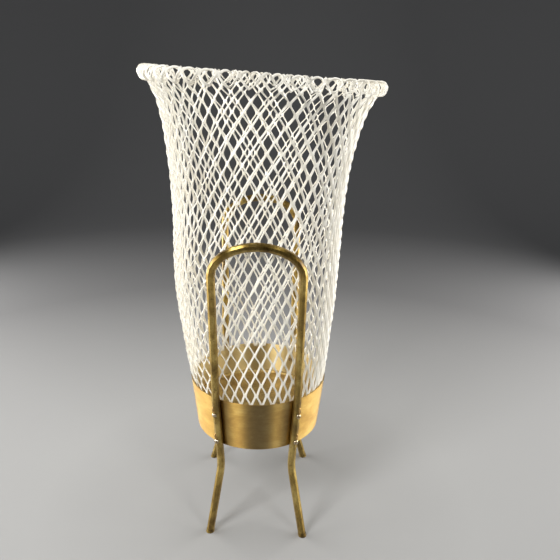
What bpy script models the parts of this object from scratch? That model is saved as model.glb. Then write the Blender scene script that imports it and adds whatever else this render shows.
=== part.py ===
"""Umbrella stand: a flared basket of expanded steel mesh in a tapered brass band, on two hairpin legs.

Metres, +Z up. The origin is on the floor, under the middle of the basket. The front hairpin is at -Y.
"""

import math

import bpy
import bmesh
from mathutils import Matrix, Vector

# Basket: middle of the mesh sheet, as (height, radius) stations from inside the band up to the rim roll.
BASKET_STATIONS = (
    (0.184, 0.0840),
    (0.192, 0.0849),
    (0.204, 0.0876),
    (0.225, 0.0903),
    (0.258, 0.0940),
    (0.294, 0.0978),
    (0.330, 0.1000),
    (0.366, 0.1008),
    (0.402, 0.1014),
    (0.438, 0.1031),
    (0.474, 0.1066),
    (0.508, 0.1120),
    (0.534, 0.1190),
    (0.551, 0.1233),
)
BASKET_THICKNESS = 0.0024
RIM_CENTRE_RADIUS = 0.1308
RIM_CENTRE_Z = 0.560
RIM_ROLL_RADIUS = 0.0077
RIM_ROLL_START = math.radians(190)
RIM_ROLL_END = math.radians(-120)
RIM_ROLL_STEPS = 12

# Band: a tapered ring of sheet brass, given by its outer surface.
BAND_TOP_Z = 0.192
BAND_BOTTOM_Z = 0.126
BAND_TOP_RADIUS = 0.0875
BAND_BOTTOM_RADIUS = 0.0800
BAND_WALL = 0.0010

# Drip tray: a shallow pan that wedges in the taper of the band and lifts out through the basket.
TRAY_FLOOR_Z = 0.149
TRAY_LIP_HEIGHT = 0.0040
TRAY_SHEET = 0.0010
TRAY_CORNER = 0.0015

# Hairpin legs, bent from brass tube.
TUBE_RADIUS = 0.0050
TUBE_BORE_RADIUS = 0.0039
FRONT_ARCH_TOP_Z = 0.393
REAR_ARCH_TOP_Z = 0.403
ARCH_RISE = 0.034
ARCH_HALF_WIDTH = 0.050
ARCH_TOP_Y = 0.1084
HALF_WIDTH_AT_BAND_TOP = 0.0490
HALF_WIDTH_AT_BAND_BOTTOM = 0.0455
BEND_HALF_WIDTH = 0.0440
BEND_Y = 0.0700
BEND_Z = 0.096
BEND_FILLET = 0.010
BEND_STEPS = 4
ARCH_STEPS = 12

# Feet, as distances from the middle to each side and to the front or rear. Each leg was splayed by hand.
FRONT_LEFT_FOOT = (0.0590, 0.0780)
FRONT_RIGHT_FOOT = (0.0605, 0.0845)
REAR_LEFT_FOOT = (0.0690, 0.0835)
REAR_RIGHT_FOOT = (0.0690, 0.0870)

# Rivets through each tube and the band, and the plugs in the tube ends.
RIVET_HEIGHTS = {"upper": 0.1745, "lower": 0.1355}
RIVET_SHANK_RADIUS = 0.0015
RIVET_HOLE_RADIUS = 0.0018
RIVET_HEAD_RADIUS = 0.0032
RIVET_HEAD_HEIGHT = 0.0022
RIVET_TAIL_RADIUS = 0.0025
RIVET_TAIL_HEIGHT = 0.0010
RIVET_HOLE_SPAN = (-0.012, 0.009)
PLUG_RADIUS = 0.0052
PLUG_THICKNESS = 0.0040
PLUG_SPIGOT_LENGTH = 0.0080
PLUG_SPIGOT_RADIUS = 0.0035

GAP = 0.0003
CUT_OVERRUN = 0.001
FLOOR_CUTTER_SIZE = 0.040

BASKET_SIDES = 44
BAND_SIDES = 96
TRAY_SIDES = 72
RIVET_SIDES = 20
RIVET_DOME_STEPS = 4
PLUG_SIDES = 32
PLUG_SPIGOT_SIDES = 24
TUBE_BEVEL_RESOLUTION = 3

# Base colour, metallic, roughness.
FINISHES = {
    "white_lacquer": ((0.86, 0.85, 0.80), 0.0, 0.35),
    "polished_brass": ((0.72, 0.50, 0.18), 1.0, 0.28),
    "dull_brass": ((0.60, 0.43, 0.20), 1.0, 0.45),
    "tube_brass": ((0.62, 0.43, 0.17), 1.0, 0.25),
    "rivet_brass": ((0.74, 0.60, 0.38), 1.0, 0.35),
}


def clear_scene():
    for scene_object in list(bpy.data.objects):
        bpy.data.objects.remove(scene_object, do_unlink=True)


def new_collection(name):
    collection = bpy.data.collections.new(name)
    bpy.context.scene.collection.children.link(collection)
    return collection


def finish(name):
    """The named material, made once."""
    material = bpy.data.materials.get(name)
    if material:
        return material
    colour, metallic, roughness = FINISHES[name]
    material = bpy.data.materials.new(name)
    material.use_nodes = True
    shader = material.node_tree.nodes["Principled BSDF"]
    shader.inputs["Base Color"].default_value = (*colour, 1.0)
    shader.inputs["Metallic"].default_value = metallic
    shader.inputs["Roughness"].default_value = roughness
    return material


def add_object(name, data, collection, finish_name=None):
    made = bpy.data.objects.new(name, data)
    collection.objects.link(made)
    if finish_name:
        data.materials.append(finish(finish_name))
    return made


def smooth_round(made):
    made.data.shade_smooth()
    made.data.set_sharp_from_angle(angle=math.radians(40))


def add_cutter(name, bm, cutters):
    mesh = bpy.data.meshes.new(name)
    bm.to_mesh(mesh)
    bm.free()
    cutter = add_object(name, mesh, cutters)
    cutter.hide_render = True
    cutter.display_type = "WIRE"
    return cutter


def boolean(target, other, operation):
    modifier = target.modifiers.new(operation.lower(), "BOOLEAN")
    modifier.operation = operation
    modifier.object = other
    modifier.solver = "EXACT"


def turned(name, profile, sides, parts, finish_name):
    """An object whose (radius, height) profile is turned round Z. An open profile gets no caps."""
    mesh = bpy.data.meshes.new(name)
    bm = bmesh.new()
    corners = [bm.verts.new((radius, 0.0, height)) for radius, height in profile]
    for first, second in zip(corners, corners[1:]):
        bm.edges.new((first, second))
    bm.to_mesh(mesh)
    bm.free()
    made = add_object(name, mesh, parts, finish_name)
    screw = made.modifiers.new("turn", "SCREW")
    screw.steps = sides
    screw.render_steps = sides
    screw.use_merge_vertices = True
    screw.merge_threshold = 0.00001
    return made


def thicken(made, thickness, offset):
    solidify = made.modifiers.new("sheet", "SOLIDIFY")
    solidify.thickness = thickness
    solidify.offset = offset
    solidify.use_even_offset = True


def basket_profile():
    """(radius, height) points of the sheet: up the flared wall, then outward and round the rim roll."""
    wall = [(radius, height) for height, radius in BASKET_STATIONS]
    roll = []
    for step in range(RIM_ROLL_STEPS + 1):
        angle = RIM_ROLL_START + (RIM_ROLL_END - RIM_ROLL_START) * step / RIM_ROLL_STEPS
        roll.append((
            RIM_CENTRE_RADIUS + RIM_ROLL_RADIUS * math.cos(angle),
            RIM_CENTRE_Z + RIM_ROLL_RADIUS * math.sin(angle),
        ))
    return wall + roll


def band_radius(height):
    """Outer radius of the tapered band at this height."""
    share = (height - BAND_BOTTOM_Z) / (BAND_TOP_Z - BAND_BOTTOM_Z)
    return BAND_BOTTOM_RADIUS + share * (BAND_TOP_RADIUS - BAND_BOTTOM_RADIUS)


def make_basket(parts):
    basket = turned("mesh_basket", basket_profile()[::-1], BASKET_SIDES, parts, "white_lacquer")
    thicken(basket, BASKET_THICKNESS, 0.0)
    smooth_round(basket)


def make_band(parts):
    profile = [(BAND_TOP_RADIUS, BAND_TOP_Z), (BAND_BOTTOM_RADIUS, BAND_BOTTOM_Z)]
    band = turned("brass_band", profile, BAND_SIDES, parts, "polished_brass")
    thicken(band, BAND_WALL, -1.0)
    smooth_round(band)
    return band


def make_tray(parts):
    """A flat pan with a lip that follows the taper of the band, turned as one closed outline."""
    lip_top = TRAY_FLOOR_Z + TRAY_LIP_HEIGHT
    lip_radius = band_radius(lip_top) - BAND_WALL - GAP
    floor_radius = band_radius(TRAY_FLOOR_Z) - BAND_WALL - GAP
    profile = [
        (0.0, TRAY_FLOOR_Z + TRAY_SHEET),
        (floor_radius - TRAY_SHEET - TRAY_CORNER, TRAY_FLOOR_Z + TRAY_SHEET),
        (floor_radius - TRAY_SHEET, TRAY_FLOOR_Z + TRAY_SHEET + TRAY_CORNER),
        (lip_radius - TRAY_SHEET, lip_top),
        (lip_radius, lip_top),
        (floor_radius, TRAY_FLOOR_Z + TRAY_CORNER),
        (floor_radius - TRAY_CORNER, TRAY_FLOOR_Z),
        (0.0, TRAY_FLOOR_Z),
    ]
    smooth_round(turned("drip_tray", profile, TRAY_SIDES, parts, "dull_brass"))


def rounded(corners, radius, steps):
    """The path with each inner corner replaced by a short curve that starts and ends a radius away."""
    path = [corners[0]]
    for before, corner, after in zip(corners, corners[1:], corners[2:]):
        start = corner + (before - corner).normalized() * radius
        end = corner + (after - corner).normalized() * radius
        for step in range(steps + 1):
            t = step / steps
            path.append(start * (1 - t) ** 2 + corner * 2 * t * (1 - t) + end * t**2)
    path.append(corners[-1])
    return path


def tube_offset(height):
    """How far the middle of a tube lies from the axis where it runs along the band."""
    return band_radius(height) + TUBE_RADIUS + GAP


def leg_corners(foot, arch_top_z):
    """Corners of one side of a hairpin on +X and +Y, from the floor up to where its arch springs."""
    foot = Vector((*foot, 0.0))
    bend = Vector((BEND_HALF_WIDTH, BEND_Y, BEND_Z))
    bottom_y = math.sqrt(tube_offset(BAND_BOTTOM_Z) ** 2 - HALF_WIDTH_AT_BAND_BOTTOM**2)
    bottom = Vector((HALF_WIDTH_AT_BAND_BOTTOM, bottom_y, BAND_BOTTOM_Z))
    top_y = math.sqrt(tube_offset(BAND_TOP_Z) ** 2 - HALF_WIDTH_AT_BAND_TOP**2)
    top = Vector((HALF_WIDTH_AT_BAND_TOP, top_y, BAND_TOP_Z))
    spring_z = arch_top_z - ARCH_RISE
    spring = Vector((ARCH_HALF_WIDTH, lean_y(top, spring_z, arch_top_z), spring_z))
    return foot, bend, bottom, top, spring


def lean_y(top, height, arch_top_z):
    """Distance from the XZ plane of the leaning upper part of the hairpin at this height."""
    return top.y + (ARCH_TOP_Y - top.y) * (height - top.z) / (arch_top_z - top.z)


def half_path(foot, arch_top_z):
    """Middle of the tube on +X and +Y, from the foot to the top of the arch."""
    foot, bend, bottom, top, spring = leg_corners(foot, arch_top_z)
    tube_end = foot + (bend - foot).normalized() * PLUG_THICKNESS
    half = rounded([tube_end, bend, bottom, top, spring], BEND_FILLET, BEND_STEPS)
    for step in range(1, ARCH_STEPS // 2 + 1):
        angle = math.pi * step / ARCH_STEPS
        height = spring.z + ARCH_RISE * math.sin(angle)
        half.append(Vector((ARCH_HALF_WIDTH * math.cos(angle), lean_y(top, height, arch_top_z), height)))
    return half


def hairpin_path(left_foot, right_foot, arch_top_z, side):
    """Middle of the tube, from its foot on +X over the arch to its foot on -X. side is the sign of Y."""
    right = half_path(right_foot, arch_top_z)
    left = [Vector((-point.x, point.y, point.z)) for point in half_path(left_foot, arch_top_z)]
    return [Vector((point.x, side * point.y, point.z)) for point in right + left[-2::-1]]


def swept_mesh(name, path, radius):
    """A round bar along the path, as a mesh whose caps are welded to its sides."""
    curve = bpy.data.curves.new(name, "CURVE")
    curve.dimensions = "3D"
    curve.bevel_depth = radius
    curve.bevel_resolution = TUBE_BEVEL_RESOLUTION
    curve.use_fill_caps = True
    spline = curve.splines.new("POLY")
    spline.points.add(len(path) - 1)
    for point, place in zip(spline.points, path):
        point.co = (*place, 1.0)
    bar = bpy.data.objects.new(name, curve)
    bpy.context.scene.collection.objects.link(bar)
    bpy.context.view_layer.update()
    evaluated = bar.evaluated_get(bpy.context.evaluated_depsgraph_get())
    mesh = bpy.data.meshes.new_from_object(evaluated)
    mesh.name = name
    bpy.data.objects.remove(bar, do_unlink=True)
    bpy.data.curves.remove(curve)
    bm = bmesh.new()
    bm.from_mesh(mesh)
    bmesh.ops.remove_doubles(bm, verts=bm.verts, dist=0.00001)
    bmesh.ops.recalc_face_normals(bm, faces=bm.faces)
    bm.to_mesh(mesh)
    bm.free()
    return mesh


def make_hairpin(name, path, parts, cutters):
    """A bent tube whose bore is open at both feet."""
    hairpin = add_object(name, swept_mesh(name, path, TUBE_RADIUS), parts, "tube_brass")
    first_end = path[0] + (path[0] - path[1]).normalized() * CUT_OVERRUN
    last_end = path[-1] + (path[-1] - path[-2]).normalized() * CUT_OVERRUN
    bore_mesh = swept_mesh(f"{name}_bore", [first_end, *path[1:-1], last_end], TUBE_BORE_RADIUS)
    bore = add_object(f"{name}_bore", bore_mesh, cutters)
    bore.hide_render = True
    bore.display_type = "WIRE"
    boolean(hairpin, bore, "DIFFERENCE")
    smooth_round(hairpin)
    return hairpin


def frame_along(axis, origin):
    """Matrix that takes +Z to the axis and the origin to the point."""
    return Matrix.Translation(origin) @ axis.to_track_quat("Z", "Y").to_matrix().to_4x4()


def add_cylinder(bm, radius, bottom, top, sides):
    placed = Matrix.Translation((0.0, 0.0, (bottom + top) / 2))
    bmesh.ops.create_cone(
        bm, cap_ends=True, segments=sides, radius1=radius, radius2=radius, depth=top - bottom, matrix=placed
    )


def rivet_frame(x_sign, y_sign, height):
    """Place and direction of a rivet: outward from the band, through the middle of the tube."""
    share = (height - BAND_BOTTOM_Z) / (BAND_TOP_Z - BAND_BOTTOM_Z)
    half_width = HALF_WIDTH_AT_BAND_BOTTOM + share * (HALF_WIDTH_AT_BAND_TOP - HALF_WIDTH_AT_BAND_BOTTOM)
    offset = tube_offset(height)
    outward = Vector((x_sign * half_width, y_sign * math.sqrt(offset**2 - half_width**2), 0.0)) / offset
    return frame_along(outward, outward * offset + Vector((0.0, 0.0, height)))


def rivet_profile():
    """(radius, distance along the axis) from the top of the dome to the middle of the tail."""
    seat = TUBE_RADIUS + GAP
    dome = []
    for step in range(RIVET_DOME_STEPS + 1):
        angle = math.pi / 2 * step / RIVET_DOME_STEPS
        dome.append((RIVET_HEAD_RADIUS * math.sin(angle), seat + RIVET_HEAD_HEIGHT * math.cos(angle)))
    band_inside = -(TUBE_RADIUS + GAP + BAND_WALL + GAP)
    return dome + [
        (RIVET_SHANK_RADIUS, seat),
        (RIVET_SHANK_RADIUS, band_inside),
        (RIVET_TAIL_RADIUS, band_inside),
        (RIVET_TAIL_RADIUS, band_inside - RIVET_TAIL_HEIGHT),
        (0.0, band_inside - RIVET_TAIL_HEIGHT),
    ]


def make_rivet(name, placed, parts):
    rivet = turned(name, rivet_profile(), RIVET_SIDES, parts, "rivet_brass")
    rivet.matrix_world = placed
    smooth_round(rivet)


def make_rivet_hole(name, placed, targets, cutters):
    """Drills the tube from outside to inside, and the band behind it."""
    bm = bmesh.new()
    add_cylinder(bm, RIVET_HOLE_RADIUS, *RIVET_HOLE_SPAN, RIVET_SIDES)
    hole = add_cutter(name, bm, cutters)
    hole.matrix_world = placed
    for target in targets:
        boolean(target, hole, "DIFFERENCE")


def make_foot_plug(name, foot, up, parts, cutters):
    """A plug in the tube end: a head, a spigot in the bore, and an underside flat on the floor."""
    bm = bmesh.new()
    add_cylinder(bm, PLUG_RADIUS, -PLUG_THICKNESS, PLUG_THICKNESS - GAP, PLUG_SIDES)
    mesh = bpy.data.meshes.new(name)
    bm.to_mesh(mesh)
    bm.free()
    plug = add_object(name, mesh, parts, "tube_brass")
    plug.matrix_world = frame_along(up, foot)
    bm = bmesh.new()
    spigot_top = PLUG_THICKNESS + PLUG_SPIGOT_LENGTH
    add_cylinder(bm, PLUG_SPIGOT_RADIUS, CUT_OVERRUN, spigot_top, PLUG_SPIGOT_SIDES)
    spigot = add_cutter(f"{name}_spigot", bm, cutters)
    spigot.matrix_world = plug.matrix_world
    boolean(plug, spigot, "UNION")
    bm = bmesh.new()
    below = Matrix.Translation((foot.x, foot.y, -FLOOR_CUTTER_SIZE / 2))
    bmesh.ops.create_cube(bm, size=FLOOR_CUTTER_SIZE, matrix=below)
    boolean(plug, add_cutter(f"{name}_floor", bm, cutters), "DIFFERENCE")
    smooth_round(plug)


def make_leg_set(end_name, left_foot, right_foot, arch_top_z, y_sign, band, parts, cutters):
    """One hairpin with its two foot plugs and its four rivets."""
    path = hairpin_path(left_foot, right_foot, arch_top_z, y_sign)
    hairpin = make_hairpin(f"{end_name}_hairpin_leg", path, parts, cutters)
    for side_name, x_sign, foot_place in (("left", -1, left_foot), ("right", 1, right_foot)):
        foot, bend = leg_corners(foot_place, arch_top_z)[:2]
        flip = Vector((x_sign, y_sign, 1))
        up = ((bend - foot) * flip).normalized()
        make_foot_plug(f"{end_name}_{side_name}_foot_plug", foot * flip, up, parts, cutters)
        for level, height in RIVET_HEIGHTS.items():
            placed = rivet_frame(x_sign, y_sign, height)
            name = f"{end_name}_{side_name}_{level}_rivet"
            make_rivet(name, placed, parts)
            make_rivet_hole(f"{name}_hole", placed, (hairpin, band), cutters)


def main():
    clear_scene()
    parts = new_collection("umbrella_stand")
    cutters = new_collection("cutters")
    cutters.hide_render = True
    make_basket(parts)
    band = make_band(parts)
    make_tray(parts)
    make_leg_set("front", FRONT_LEFT_FOOT, FRONT_RIGHT_FOOT, FRONT_ARCH_TOP_Z, -1, band, parts, cutters)
    make_leg_set("rear", REAR_LEFT_FOOT, REAR_RIGHT_FOOT, REAR_ARCH_TOP_Z, 1, band, parts, cutters)


main()
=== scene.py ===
"""Looks of the umbrella stand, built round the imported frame: expanded mesh, brass, light and camera."""

import math
import random

import bpy
import numpy as np
from mathutils import Matrix, Vector, noise


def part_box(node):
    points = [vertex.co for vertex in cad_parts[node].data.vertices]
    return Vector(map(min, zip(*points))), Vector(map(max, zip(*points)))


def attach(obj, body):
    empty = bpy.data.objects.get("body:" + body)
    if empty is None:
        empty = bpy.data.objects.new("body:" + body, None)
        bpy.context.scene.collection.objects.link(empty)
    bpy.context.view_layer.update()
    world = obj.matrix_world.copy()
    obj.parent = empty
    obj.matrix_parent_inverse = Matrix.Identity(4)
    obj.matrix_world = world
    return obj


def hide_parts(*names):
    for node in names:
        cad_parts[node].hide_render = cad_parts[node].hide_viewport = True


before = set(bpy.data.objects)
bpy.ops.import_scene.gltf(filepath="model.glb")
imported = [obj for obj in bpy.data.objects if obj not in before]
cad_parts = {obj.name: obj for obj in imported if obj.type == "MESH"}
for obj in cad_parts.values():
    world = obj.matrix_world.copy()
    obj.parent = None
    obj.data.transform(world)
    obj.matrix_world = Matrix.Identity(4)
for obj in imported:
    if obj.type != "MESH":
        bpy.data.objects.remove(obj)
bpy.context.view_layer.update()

STAND = "stand"
TRAY = "drip_tray"

# Camera: about level with the rim, a little to the right, and tilted down.
CAMERA_DISTANCE = 0.712
CAMERA_SIDE = 0.015
CAMERA_HEIGHT = 0.5645
CAMERA_PITCH = math.radians(18.95)
CAMERA_YAW = math.radians(0.9)
CAMERA_ROLL = math.radians(1.2)
CAMERA_LENS = 38.57
SENSOR_WIDTH = 36
NEAR_CLIP = 0.01

# Expanded mesh. A ribbon is one zigzag strand; two ribbons lie side by side at each bond.
DIAMONDS_ROUND = 42
RIBBONS = 2 * DIAMONDS_ROUND
RIBBON_WIDTH = 0.0027
RIBBON_THICKNESS = 0.0013
RIBBON_CHAMFER = 0.0003
BOND_LENGTH = 0.0032
STRAND_LENGTH = 0.0118
FIRST_BOND_HEIGHT = 0.1906
WALL_TILT = math.radians(44)
EDGE_TILT = math.radians(15)
ROLL_TILT = math.radians(38)
INSET = 0.0010
EDGE_FADE = (0.010, 0.030)
ROLL_FADE = 0.020
STRAND_STEPS = 2
ROLL_STEPS = 7
SHEET_SAMPLES = 1200

# Hand-made unevenness: how far a bond wanders along and round the sheet, how far it tips, and the dents.
BOND_WANDER_ALONG = 0.0004
BOND_WANDER_ROUND = 0.0003
BOND_TIP = math.radians(4)
DENT_DEPTH = 0.0007
DENT_SCALE = 22

# The rim roll. The CAD roll places it; the mesh is rolled tighter than that, from ROLL_START over to ROLL_END.
CAD_ROLL_RADIUS = 0.0077
ROLL_RADIUS = 0.0062
ROLL_END_RADIUS = 0.0052
ROLL_SET_IN = 0.0006
ROLL_START = math.radians(190)
ROLL_END = math.radians(-150)
SHEET_THICKNESS = 0.0024

# Lumps of brazing metal on the tubes' outer sides, each LUMP_LIFT above a rivet.
# LUMP_SIZE is (half width, half height), and BAND_LOW_RADIUS is the band's at its lower edge.
BAND_LOW_RADIUS = 0.080
LUMP_SIZE = (0.0017, 0.0040)
LUMP_LIFT = 0.0078
LUMP_OUT = 0.0098
LUMP_OUTBOARD = 0.0010
LUMP_SWELL = 0.45
LUMP_SWELL_SCALE = 1.6
LUMP_SEED_STEP = 7.0
LUMP_RINGS = 9
LUMP_SIDES = 14

# The basket was rolled up by hand: its middle wanders sideways, and its rim is a little out of level.
LEAN = ((0.19, 0.0), (0.25, -0.0020), (0.32, -0.0035), (0.40, -0.0018), (0.48, 0.0002), (0.57, 0.0034))
RIM_SLOPE = 0.050
RIM_DROP = 0.0025
SLOPE_START = 0.42
SLOPE_FULL = 0.56

# Smooth shading of the CAD pieces: points closer than this are one, and edges sharper than this stay sharp.
WELD_DISTANCE = 0.000002
SHARP_ANGLE = math.radians(35)

# Studio cove: a flat floor, a quarter-round sweep and an upright wall.
COVE_RADIUS = 2.6
COVE_SWEEP = 1.0
COVE_TOP = 3.2
COVE_INNER_FLOOR = 0.8
COVE_SIDES = 96
COVE_SWEEP_STEPS = 16

# Lights: name, place, (width, height), watts, colour. All face LIGHT_TARGET.
WARM = (1.0, 0.98, 0.95)
NEUTRAL = (1.0, 1.0, 1.0)
LIGHT_TARGET = (0.0, 0.0, 0.30)
SOFTBOXES = (
    ("side_left", (-1.15, 0.20, 0.40), (1.5, 0.7), 25, WARM),
    ("side_right", (1.15, 0.20, 0.40), (1.5, 0.7), 23, WARM),
    ("front_left", (-0.75, -0.95, 1.30), (0.40, 0.45), 16, NEUTRAL),
    ("front_right", (0.75, -1.10, 0.90), (0.30, 0.5), 5, NEUTRAL),
    ("top", (0.0, 0.1, 2.0), (1.2, 0.5), 9, NEUTRAL),
)
SKY_COLOUR = (0.80, 0.82, 0.85, 1.0)
SKY_STRENGTH = 0.08

# Socket numbers of the colour Mix node, whose socket names repeat for each data type.
MIX_SHARE, MIX_FIRST, MIX_SECOND, MIX_RESULT = 0, 6, 7, 2


# --------------------------------------------------------------------------- helpers

def link(made):
    bpy.context.scene.collection.objects.link(made)
    return made


def mesh_object(name, points, faces, material, body):
    mesh = bpy.data.meshes.new(name)
    mesh.from_pydata(points, [], faces)
    mesh.update()
    mesh.shade_smooth()
    mesh.materials.append(material)
    made = link(bpy.data.objects.new(name, mesh))
    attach(made, body)
    return made


def smoothstep(low, high, value):
    share = min(max((value - low) / (high - low), 0.0), 1.0)
    return share * share * (3 - 2 * share)


class Nodes:
    """A short way to write a material's node tree."""

    def __init__(self, name):
        self.material = bpy.data.materials.new(name)
        self.material.use_nodes = True
        self.tree = self.material.node_tree
        self.shader = self.tree.nodes["Principled BSDF"]
        coordinates = self.add("ShaderNodeTexCoord")
        self.place, self.facing = coordinates.outputs["Object"], coordinates.outputs["Normal"]

    def add(self, kind, **settings):
        node = self.tree.nodes.new(kind)
        for key, value in settings.items():
            setattr(node, key, value)
        return node

    def join(self, source, target):
        self.tree.links.new(source, target)

    def set(self, name, value):
        self.shader.inputs[name].default_value = value

    def scaled(self, x, y, z):
        """The object coordinates, stretched by these factors."""
        mapping = self.add("ShaderNodeMapping")
        mapping.inputs["Scale"].default_value = (x, y, z)
        self.join(self.place, mapping.inputs["Vector"])
        return mapping.outputs["Vector"]

    def noise(self, vector, scale=1.0, detail=3.0, roughness=0.5, distortion=0.0):
        node = self.add("ShaderNodeTexNoise")
        node.inputs["Scale"].default_value = scale
        node.inputs["Detail"].default_value = detail
        node.inputs["Roughness"].default_value = roughness
        node.inputs["Distortion"].default_value = distortion
        self.join(vector, node.inputs["Vector"])
        return node.outputs["Fac"]

    def ramp(self, value, stops):
        """Colour from (position, colour) stops."""
        node = self.add("ShaderNodeValToRGB")
        elements = node.color_ramp.elements
        while len(elements) < len(stops):
            elements.new(0.5)
        for element, (position, colour) in zip(elements, stops):
            element.position = position
            element.color = (*colour, 1.0)
        self.join(value, node.inputs["Fac"])
        return node.outputs["Color"]

    def span(self, value, low, high, to_low, to_high):
        node = self.add("ShaderNodeMapRange")
        ends = {"From Min": low, "From Max": high, "To Min": to_low, "To Max": to_high}
        for name, number in ends.items():
            node.inputs[name].default_value = number
        self.join(value, node.inputs["Value"])
        return node.outputs["Result"]

    def mix(self, share, first, second):
        node = self.add("ShaderNodeMix", data_type="RGBA")
        for number, value in ((MIX_SHARE, share), (MIX_FIRST, first), (MIX_SECOND, second)):
            if isinstance(value, bpy.types.NodeSocket):
                self.join(value, node.inputs[number])
            else:
                node.inputs[number].default_value = value
        return node.outputs[MIX_RESULT]

    def stretch_upright(self, amount):
        """Draws the highlights out up and down, as on metal with fine scratches round it."""
        upright = self.add("ShaderNodeCombineXYZ")
        upright.inputs["Z"].default_value = 1.0
        self.join(upright.outputs["Vector"], self.shader.inputs["Tangent"])
        self.set("Anisotropic", amount)

    def bump(self, height, strength, distance):
        node = self.add("ShaderNodeBump")
        node.inputs["Strength"].default_value = strength
        node.inputs["Distance"].default_value = distance
        self.join(height, node.inputs["Height"])
        return node.outputs["Normal"]


def rgb(red, green, blue):
    return (red, green, blue, 1.0)


# --------------------------------------------------------------------------- materials

def white_lacquer():
    """Thick warm white paint: slightly uneven in gloss, yellowed and dusty in patches."""
    n = Nodes("white_lacquer")
    patches = n.noise(n.place, scale=30, detail=4, roughness=0.6)
    shades = [(0.30, (0.80, 0.75, 0.63)), (0.55, (0.87, 0.84, 0.75)), (0.75, (0.90, 0.88, 0.81))]
    colour = n.ramp(patches, shades)
    n.join(colour, n.shader.inputs["Base Color"])
    orange_peel = n.noise(n.place, scale=700, detail=2)
    n.join(n.span(patches, 0.3, 0.7, 0.42, 0.28), n.shader.inputs["Roughness"])
    n.join(n.bump(orange_peel, 0.25, 0.0003), n.shader.inputs["Normal"])
    n.set("Coat Weight", 0.25)
    n.set("Coat Roughness", 0.12)
    return n.material


def brushed_brass():
    """Sheet brass, brushed round the band, so that its highlights run up and down. Brown outside, and painted paler
    inside as painted light on the inner wall.
    """
    n = Nodes("brushed_brass")
    brushing = n.noise(n.scaled(14, 14, 2400), detail=3, roughness=0.7)
    patina = n.noise(n.scaled(1, 1, 1.6), scale=30, detail=7, roughness=0.65, distortion=0.4)
    shades = [(0.30, (0.34, 0.19, 0.040)), (0.50, (0.50, 0.325, 0.080)), (0.72, (0.64, 0.47, 0.16))]
    colour = n.ramp(patina, shades)
    lined = n.mix(n.span(brushing, 0.35, 0.65, 0.0, 0.5), colour, rgb(0.34, 0.19, 0.042))
    # Painted light: the band's inner face gets a paler colour than its outer face, standing in for light on the
    # inner wall.
    across = n.add("ShaderNodeVectorMath", operation="DOT_PRODUCT")
    n.join(n.place, across.inputs[0])
    n.join(n.facing, across.inputs[1])
    inside = n.span(across.outputs["Value"], 0.0, -0.001, 0.0, 0.85)
    n.join(n.mix(inside, lined, rgb(0.82, 0.66, 0.33)), n.shader.inputs["Base Color"])
    n.join(n.span(patina, 0.3, 0.7, 0.58, 0.50), n.shader.inputs["Roughness"])
    n.join(n.bump(brushing, 0.25, 0.0001), n.shader.inputs["Normal"])
    n.stretch_upright(1.0)
    n.set("Metallic", 1.0)
    n.set("Coat Weight", 0.8)
    n.set("Coat Roughness", 0.40)
    return n.material


def dull_brass():
    """Sheet brass that umbrellas have dripped on: browner, with water spots, but still a mirror at a low angle."""
    n = Nodes("dull_brass")
    cloud = n.noise(n.place, scale=45, detail=6, roughness=0.65)
    spots = n.noise(n.place, scale=230, detail=3, roughness=0.6)
    shades = [(0.30, (0.34, 0.22, 0.07)), (0.52, (0.48, 0.35, 0.13)), (0.75, (0.60, 0.46, 0.20))]
    colour = n.ramp(cloud, shades)
    spotted = n.mix(n.span(spots, 0.55, 0.68, 0.0, 0.7), colour, rgb(0.24, 0.15, 0.055))
    n.join(spotted, n.shader.inputs["Base Color"])
    n.join(n.span(cloud, 0.3, 0.7, 0.50, 0.36), n.shader.inputs["Roughness"])
    n.join(n.bump(spots, 0.15, 0.0001), n.shader.inputs["Normal"])
    n.set("Metallic", 0.8)
    return n.material


def tube_brass():
    """Drawn tube gone brown with age, lighter where hands and cloths have rubbed it. Its highlights run along it."""
    n = Nodes("tube_brass")
    age = n.noise(n.scaled(1, 1, 0.5), scale=55, detail=6, roughness=0.65, distortion=0.4)
    pits = n.noise(n.place, scale=420, detail=3, roughness=0.6)
    shades = [(0.34, (0.12, 0.070, 0.014)), (0.50, (0.30, 0.200, 0.046)), (0.68, (0.60, 0.44, 0.14))]
    colour = n.ramp(age, shades)
    pitted = n.mix(n.span(pits, 0.58, 0.70, 0.0, 0.8), colour, rgb(0.10, 0.055, 0.018))
    n.join(pitted, n.shader.inputs["Base Color"])
    n.join(n.span(age, 0.3, 0.7, 0.42, 0.30), n.shader.inputs["Roughness"])
    n.join(n.bump(pits, 0.12, 0.0002), n.shader.inputs["Normal"])
    n.stretch_upright(0.85)
    n.set("Metallic", 1.0)
    n.set("Coat Weight", 0.4)
    n.set("Coat Roughness", 0.12)
    return n.material


def rivet_brass():
    """Worn brass of the rivets: bright on the high spots and brown between them."""
    n = Nodes("rivet_brass")
    blotches = n.noise(n.place, scale=500, detail=3)
    colour = n.ramp(blotches, [(0.42, (0.34, 0.23, 0.10)), (0.62, (0.62, 0.54, 0.40))])
    n.join(colour, n.shader.inputs["Base Color"])
    n.join(n.bump(blotches, 0.3, 0.0003), n.shader.inputs["Normal"])
    n.set("Metallic", 1.0)
    n.set("Roughness", 0.28)
    return n.material


def cove_paper():
    """Paper with a painted pool of light: pale on the floor near the stand, darkening with distance from it into mid
    grey up the wall.
    """
    n = Nodes("cove_paper")
    reach = n.add("ShaderNodeVectorMath", operation="LENGTH")
    n.join(n.place, reach.inputs[0])
    # Painted pool of light: the paper is paler near the stand and darker with distance from it.
    painted_light_falloff = n.span(reach.outputs["Value"], 0.30, 1.8, 0.0, 1.0)
    colour = n.ramp(painted_light_falloff, [(0.0, (0.32, 0.32, 0.316)), (0.40, (0.15, 0.15, 0.152)), (1.0, (0.11, 0.112, 0.116))])
    n.join(colour, n.shader.inputs["Base Color"])
    n.set("Roughness", 0.8)
    return n.material


# --------------------------------------------------------------------------- the expanded mesh

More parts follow.
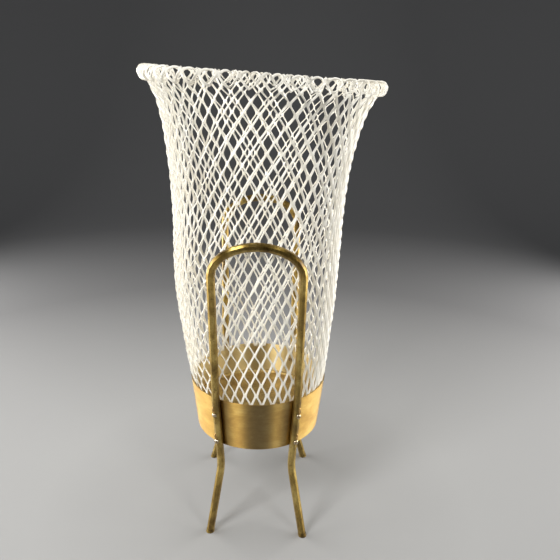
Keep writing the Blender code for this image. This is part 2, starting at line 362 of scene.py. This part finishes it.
def wall_line():
    """The middle line of the basket's CAD wall, as (radius, height) from its lower edge to where the roll starts.

    Each point of the outline on one side of the sheet is paired with the nearest one on the other side.
    """
    corners = [v.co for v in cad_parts["mesh_basket"].data.vertices]
    _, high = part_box("mesh_basket")
    roll_bottom = high[2] - 2 * CAD_ROLL_RADIUS - SHEET_THICKNESS
    meridian = {
        (round(v.x, 5), round(v.z, 5))
        for v in corners if v.x > 0 and abs(v.y) < 1e-5 and v.z < roll_bottom
    }
    loose = [np.array(point) for point in sorted(meridian, key=lambda point: point[1])]
    middles = []
    while len(loose) > 1:
        point = loose.pop(0)
        partner = min(range(len(loose)), key=lambda k: np.linalg.norm(loose[k] - point))
        middles.append((point + loose.pop(partner)) / 2)
    return middles


def roll_line(steps=40):
    """The rim roll, as (radius, height) points of a circle that tightens towards its end."""
    _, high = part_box("mesh_basket")
    reach = CAD_ROLL_RADIUS + SHEET_THICKNESS / 2
    centre = np.array((high[0] - reach - ROLL_SET_IN, high[2] - reach))
    made = []
    for step in range(steps + 1):
        share = step / steps
        angle = ROLL_START + (ROLL_END - ROLL_START) * share
        radius = ROLL_RADIUS + (ROLL_END_RADIUS - ROLL_RADIUS) * smoothstep(0.5, 1.0, share)
        made.append(centre + radius * np.array((math.cos(angle), math.sin(angle))))
    return made


def spline_through(points, steps=12):
    """Catmull-Rom points through the given ones."""
    padded = np.vstack([2 * points[0] - points[1], points, 2 * points[-1] - points[-2]])
    made = []
    for a, b, c, d in zip(padded, padded[1:], padded[2:], padded[3:]):
        for step in range(steps):
            t = step / steps
            square, cube = (2 * a - 5 * b + 4 * c - d) * t**2, (3 * b - a - 3 * c + d) * t**3
            made.append(0.5 * (2 * b + (c - a) * t + square + cube))
    return np.array([*made, points[-1]])


class Sheet:
    """The basket's surface by arc length: radius, height and outward normal."""

    def __init__(self):
        line = spline_through(np.array(wall_line() + roll_line()))
        lengths = np.concatenate([[0], np.cumsum(np.linalg.norm(np.diff(line, axis=0), axis=1))])
        self.length = lengths[-1]
        self.at = np.linspace(0, self.length, SHEET_SAMPLES)
        self.radius = np.interp(self.at, lengths, line[:, 0])
        self.height = np.interp(self.at, lengths, line[:, 1])
        slope_r, slope_z = np.gradient(self.radius, self.at), np.gradient(self.height, self.at)
        size = np.hypot(slope_r, slope_z)
        self.normal_r, self.normal_z = slope_z / size, -slope_r / size
        self.roll_start = self.length - 2.0 * math.pi * ROLL_RADIUS

    def read(self, s):
        return tuple(np.interp(s, self.at, row) for row in (self.radius, self.height, self.normal_r, self.normal_z))

    def at_height(self, height):
        """Arc length at this height, in the lower half of the sheet, where the height only rises."""
        half = SHEET_SAMPLES // 2
        return float(np.interp(height, self.height[:half], self.at[:half]))

    def tilt(self, s):
        """How far the ribbons are turned out of the sheet: flattened in the band and a little in the roll."""
        tilt = EDGE_TILT + (WALL_TILT - EDGE_TILT) * smoothstep(*EDGE_FADE, s)
        return tilt + (ROLL_TILT - WALL_TILT) * smoothstep(self.roll_start - ROLL_FADE, self.roll_start, s)

    def inset(self, s):
        """How far the middle of the ribbons lies under the sheet's middle: nothing at its lower edge."""
        return INSET * smoothstep(*EDGE_FADE, s)


def bond_rows(sheet):
    """Arc length of each row of bonds. A strand keeps its length, so rows close up where the sheet is wide."""
    rows = [sheet.at_height(FIRST_BOND_HEIGHT)]
    while True:
        radius = sheet.read(rows[-1])[0]
        across = math.pi * radius / DIAMONDS_ROUND - RIBBON_WIDTH * math.cos(sheet.tilt(rows[-1]))
        along = math.sqrt(max(STRAND_LENGTH**2 - across**2, 0.0)) + BOND_LENGTH
        if rows[-1] + along + BOND_LENGTH / 2 > sheet.length:
            return rows
        rows.append(rows[-1] + along)


def ribbon_section():
    """(across, through) of the ribbon's eight corners, from its left face round over the outside."""
    half_width, half_depth, chamfer = RIBBON_WIDTH / 2, RIBBON_THICKNESS / 2, RIBBON_CHAMFER
    return [
        (-half_width, -half_depth + chamfer), (-half_width, half_depth - chamfer),
        (-half_width + chamfer, half_depth), (half_width - chamfer, half_depth),
        (half_width, half_depth - chamfer), (half_width, -half_depth + chamfer),
        (half_width - chamfer, -half_depth), (-half_width + chamfer, -half_depth),
    ]


def out_of_true(x, y, z):
    """Moves a point of the basket sideways and, near the rim, up or down, as hand rolling left it."""
    lean = float(np.interp(z, [height for height, _ in LEAN], [shift for _, shift in LEAN]))
    return (x + lean, y, z - (RIM_SLOPE * x + RIM_DROP) * smoothstep(SLOPE_START, SLOPE_FULL, z))


class Lattice:
    """The whole expanded sheet as one closed mesh. Ribbons share the vertices along the middle of a bond."""

    def __init__(self, sheet, seed=5):
        self.sheet = sheet
        self.rows = bond_rows(sheet)
        self.section = ribbon_section()
        self.points, self.faces, self.shared = [], [], {}
        draw = random.Random(seed)
        self.jitter = {
            (row, column): (draw.uniform(-1, 1), draw.uniform(-1, 1), draw.uniform(-1, 1))
            for row in range(len(self.rows)) for column in range(RIBBONS)
        }

    def bond(self, row, column):
        """Arc length, angle and tilt of a bond, each a little uneven."""
        along, turn, tip = self.jitter[row, column % RIBBONS]
        s = self.rows[row] + BOND_WANDER_ALONG * along
        angle = math.pi * column / DIAMONDS_ROUND + BOND_WANDER_ROUND * turn / self.sheet.read(s)[0]
        return s, angle, self.sheet.tilt(s) + BOND_TIP * tip

    def place(self, s, angle, tilt, across, through, middle=(0.0, 0.0)):
        """Point on a ribbon: middle is the ribbon's middle as (sideways, outward) from the sheet."""
        radius, height, normal_r, normal_z = self.sheet.read(s)
        sideways = middle[0] + across * math.cos(tilt) - through * math.sin(tilt)
        outward = middle[1] + across * math.sin(tilt) + through * math.cos(tilt) - self.sheet.inset(s)
        spot = Vector((radius * math.cos(angle), radius * math.sin(angle), height))
        outward += DENT_DEPTH * noise.noise(spot * DENT_SCALE)
        reach = radius + outward * normal_r
        turned = angle + sideways / radius
        return out_of_true(reach * math.cos(turned), reach * math.sin(turned), height + outward * normal_z)

    def vertex(self, place, key=None):
        if key is not None and key in self.shared:
            return self.shared[key]
        self.points.append(place)
        index = len(self.points) - 1
        if key is not None:
            self.shared[key] = index
        return index

    def bond_ring(self, row, column, sign, end):
        """Ring of a ribbon at one end of a bond. sign 1 is the ribbon on the right of the bond's middle."""
        s, angle, tilt = self.bond(row, column)
        s += (end - 0.5) * BOND_LENGTH
        middle = (sign * RIBBON_WIDTH / 2 * math.cos(tilt), sign * RIBBON_WIDTH / 2 * math.sin(tilt))
        seam = {0: -1, 1: 1} if sign == 1 else {4: 1, 5: -1}
        ring = []
        for corner, (across, through) in enumerate(self.section):
            key = None
            if corner in seam:
                through = seam[corner] * RIBBON_THICKNESS / 2
                key = (row, column % RIBBONS, end, seam[corner])
            ring.append(self.vertex(self.place(s, angle, tilt, across, through, middle), key))
        return ring

    def strand_rings(self, row, column, sign, next_column):
        """Rings of the free strand from this bond to the next one up."""
        s_a, angle_a, tilt_a = self.bond(row, column)
        s_b, angle_b, tilt_b = self.bond(row + 1, next_column)
        s_a, s_b = s_a + BOND_LENGTH / 2, s_b - BOND_LENGTH / 2
        steps = ROLL_STEPS if s_b > self.sheet.roll_start else STRAND_STEPS
        rings = []
        for step in range(1, steps + 1):
            t = step / (steps + 1)
            s, angle, tilt = (a + (b - a) * t for a, b in ((s_a, s_b), (angle_a, angle_b), (tilt_a, tilt_b)))
            side = sign * (1 - 2 * t) * RIBBON_WIDTH / 2
            middle = (side * math.cos(tilt), side * math.sin(tilt))
            rings.append([self.vertex(self.place(s, angle, tilt, a, b, middle)) for a, b in self.section])
        return rings

    def skin(self, lower, upper, hidden=None):
        """Faces between two rings. hidden is the corner whose side is inside a bond."""
        for corner in range(8):
            after = (corner + 1) % 8
            if corner != hidden:
                self.faces.append((lower[corner], upper[corner], upper[after], lower[after]))

    def add_ribbon(self, ribbon):
        last = None
        for row in range(len(self.rows)):
            on_left = (row + ribbon) % 2 == 0
            column = ribbon if on_left else ribbon + 1
            sign, hidden = (1, 0) if on_left else (-1, 4)
            start, end = self.bond_ring(row, column, sign, 0), self.bond_ring(row, column, sign, 1)
            if last is None:
                self.faces.append(tuple(start))
            else:
                self.skin(last, start)
            self.skin(start, end, hidden)
            last = end
            if row + 1 < len(self.rows):
                for ring in self.strand_rings(row, column, sign, ribbon + 1 if on_left else ribbon):
                    self.skin(last, ring)
                    last = ring
        self.faces.append(tuple(reversed(last)))

    def build(self, material):
        for ribbon in range(RIBBONS):
            self.add_ribbon(ribbon)
        return mesh_object("expanded_mesh", self.points, self.faces, material, STAND)


def make_mesh_basket():
    basket = Lattice(Sheet()).build(white_lacquer())
    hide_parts("mesh_basket")


# --------------------------------------------------------------------------- brass

def dress_node(name, material):
    """Gives a CAD node its material and smooth shading; its points stay as they are."""
    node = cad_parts[name]
    node.data.materials.clear()
    node.data.materials.append(material)
    with bpy.context.temp_override(object=node, active_object=node, selected_editable_objects=[node]):
        bpy.ops.mesh.customdata_custom_splitnormals_clear()
    node.data.shade_smooth()
    weld = node.modifiers.new("weld", "WELD")
    weld.merge_threshold = WELD_DISTANCE
    split = node.modifiers.new("sharp_edges", "EDGE_SPLIT")
    split.split_angle = SHARP_ANGLE


def dress_brass():
    tube, band, tray, bright = tube_brass(), brushed_brass(), dull_brass(), rivet_brass()
    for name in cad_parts:
        if name.endswith("_leg") or name.endswith("_plug"):
            dress_node(name, tube)
        elif name.endswith("_rivet"):
            dress_node(name, bright)
    dress_node("brass_band", band)
    dress_node("drip_tray", tray)


def brazing():
    """Brown brazing metal, as it ran and froze."""
    n = Nodes("brazing")
    blotches = n.noise(n.place, scale=380, detail=4, roughness=0.6)
    colour = n.ramp(blotches, [(0.35, (0.34, 0.19, 0.06)), (0.55, (0.58, 0.36, 0.13)), (0.70, (0.75, 0.55, 0.26))])
    n.join(colour, n.shader.inputs["Base Color"])
    n.join(n.bump(blotches, 0.4, 0.0004), n.shader.inputs["Normal"])
    n.set("Metallic", 0.9)
    n.set("Roughness", 0.36)
    return n.material


def lump_mesh(middle, seed):
    """Points and faces of an uneven ball: a pole, rings from the top down, and a pole."""
    across, along = LUMP_SIZE
    points = []
    for ring in range(LUMP_RINGS + 1):
        polar = math.pi * ring / LUMP_RINGS
        for side in range(1 if ring in (0, LUMP_RINGS) else LUMP_SIDES):
            turn = math.tau * side / LUMP_SIDES
            ball = Vector((math.sin(polar) * math.cos(turn), math.sin(polar) * math.sin(turn), math.cos(polar)))
            swell = 1.0 + LUMP_SWELL * noise.noise(ball * LUMP_SWELL_SCALE + Vector((seed, 0, 0)))
            points.append(tuple(
                middle[axis] + size * swell * ball[axis] for axis, size in enumerate((across, across, along))
            ))
    bottom = len(points) - 1
    last_ring = bottom - LUMP_SIDES
    faces = []
    for side in range(LUMP_SIDES):
        after = (side + 1) % LUMP_SIDES
        faces.append((0, 1 + side, 1 + after))
        for base in range(1, last_ring, LUMP_SIDES):
            faces.append((base + side, base + LUMP_SIDES + side, base + LUMP_SIDES + after, base + after))
        faces.append((last_ring + side, bottom, last_ring + after))
    return points, faces


def make_brazing_lump(name, rivet, material, seed):
    """A lump of brazing metal above a rivet, on the tube's outer side."""
    low, high = (np.array(corner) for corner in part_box(rivet))
    centre = (low + high) / 2
    outward = np.array((centre[0], centre[1], 0.0)) / math.hypot(centre[0], centre[1])
    outboard = np.array((-outward[1], outward[0], 0.0)) * math.copysign(1.0, -outward[1] * centre[0])
    band_low, band_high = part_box("brass_band")
    z = centre[2] + LUMP_LIFT
    band_radius = np.interp(z, (band_low[2], band_high[2]), (BAND_LOW_RADIUS, band_high[0]))
    middle = outward * (band_radius + LUMP_OUT) + outboard * LUMP_OUTBOARD
    points, faces = lump_mesh((*middle[:2], z), seed)
    mesh_object(name, points, faces, material, STAND)


def make_brazing():
    material = brazing()
    rivets = sorted(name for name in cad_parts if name.endswith("_rivet"))
    for seed, rivet in enumerate(rivets):
        make_brazing_lump(rivet.replace("_rivet", "_brazing"), rivet, material, LUMP_SEED_STEP * seed)


# --------------------------------------------------------------------------- studio

def make_camera():
    data = bpy.data.cameras.new("camera")
    data.lens = CAMERA_LENS
    data.sensor_width = SENSOR_WIDTH
    data.clip_start = NEAR_CLIP
    camera = link(bpy.data.objects.new("camera", data))
    aim = Matrix.Rotation(-CAMERA_YAW, 4, "Z") @ Matrix.Rotation(math.pi / 2 - CAMERA_PITCH, 4, "X")
    turn = aim @ Matrix.Rotation(CAMERA_ROLL, 4, "Z")
    camera.matrix_world = Matrix.Translation((CAMERA_SIDE, -CAMERA_DISTANCE, CAMERA_HEIGHT)) @ turn
    bpy.context.scene.camera = camera


def make_cove():
    """A round studio cove: a floor that sweeps up all round into a wall, painted with a pool of light, pale near the
    stand and darker further out.
    """
    floor_edge, sides = COVE_RADIUS - COVE_SWEEP, COVE_SIDES
    outline = [(0.0, 0.0), (COVE_INNER_FLOOR, 0.0), (floor_edge, 0.0)]
    for step in range(1, COVE_SWEEP_STEPS + 1):
        angle = math.pi / 2 * step / COVE_SWEEP_STEPS
        outline.append((floor_edge + COVE_SWEEP * math.sin(angle), COVE_SWEEP - COVE_SWEEP * math.cos(angle)))
    outline.append((COVE_RADIUS, COVE_TOP))
    points, faces = [(0.0, 0.0, 0.0)], []
    turns = [math.tau * k / sides for k in range(sides)]
    for r, z in outline[1:]:
        points += [(r * math.cos(turn), r * math.sin(turn), z) for turn in turns]
    for k in range(sides):
        after = (k + 1) % sides
        faces.append((0, 1 + k, 1 + after))
        for ring in range(len(outline) - 2):
            base = 1 + ring * sides
            faces.append((base + k, base + sides + k, base + sides + after, base + after))
    mesh = bpy.data.meshes.new("cove")
    mesh.from_pydata(points, [], faces)
    mesh.shade_smooth()
    mesh.materials.append(cove_paper())
    link(bpy.data.objects.new("cove", mesh))


def add_softbox(name, place, size, power, colour):
    data = bpy.data.lights.new(name, "AREA")
    data.shape = "RECTANGLE"
    data.size, data.size_y = size
    data.energy = power
    data.color = colour
    box = link(bpy.data.objects.new(name, data))
    box.location = place
    box.rotation_euler = (Vector(LIGHT_TARGET) - Vector(place)).to_track_quat("-Z", "Y").to_euler()
    box.visible_camera = False


def light_studio():
    for softbox in SOFTBOXES:
        add_softbox(*softbox)
    world = bpy.data.worlds.new("studio")
    world.use_nodes = True
    sky = world.node_tree.nodes["Background"]
    sky.inputs["Color"].default_value = SKY_COLOUR
    sky.inputs["Strength"].default_value = SKY_STRENGTH
    bpy.context.scene.world = world
    bpy.context.scene.view_settings.view_transform = "Standard"


make_camera()
make_mesh_basket()
dress_brass()
make_brazing()
make_cove()
light_studio()
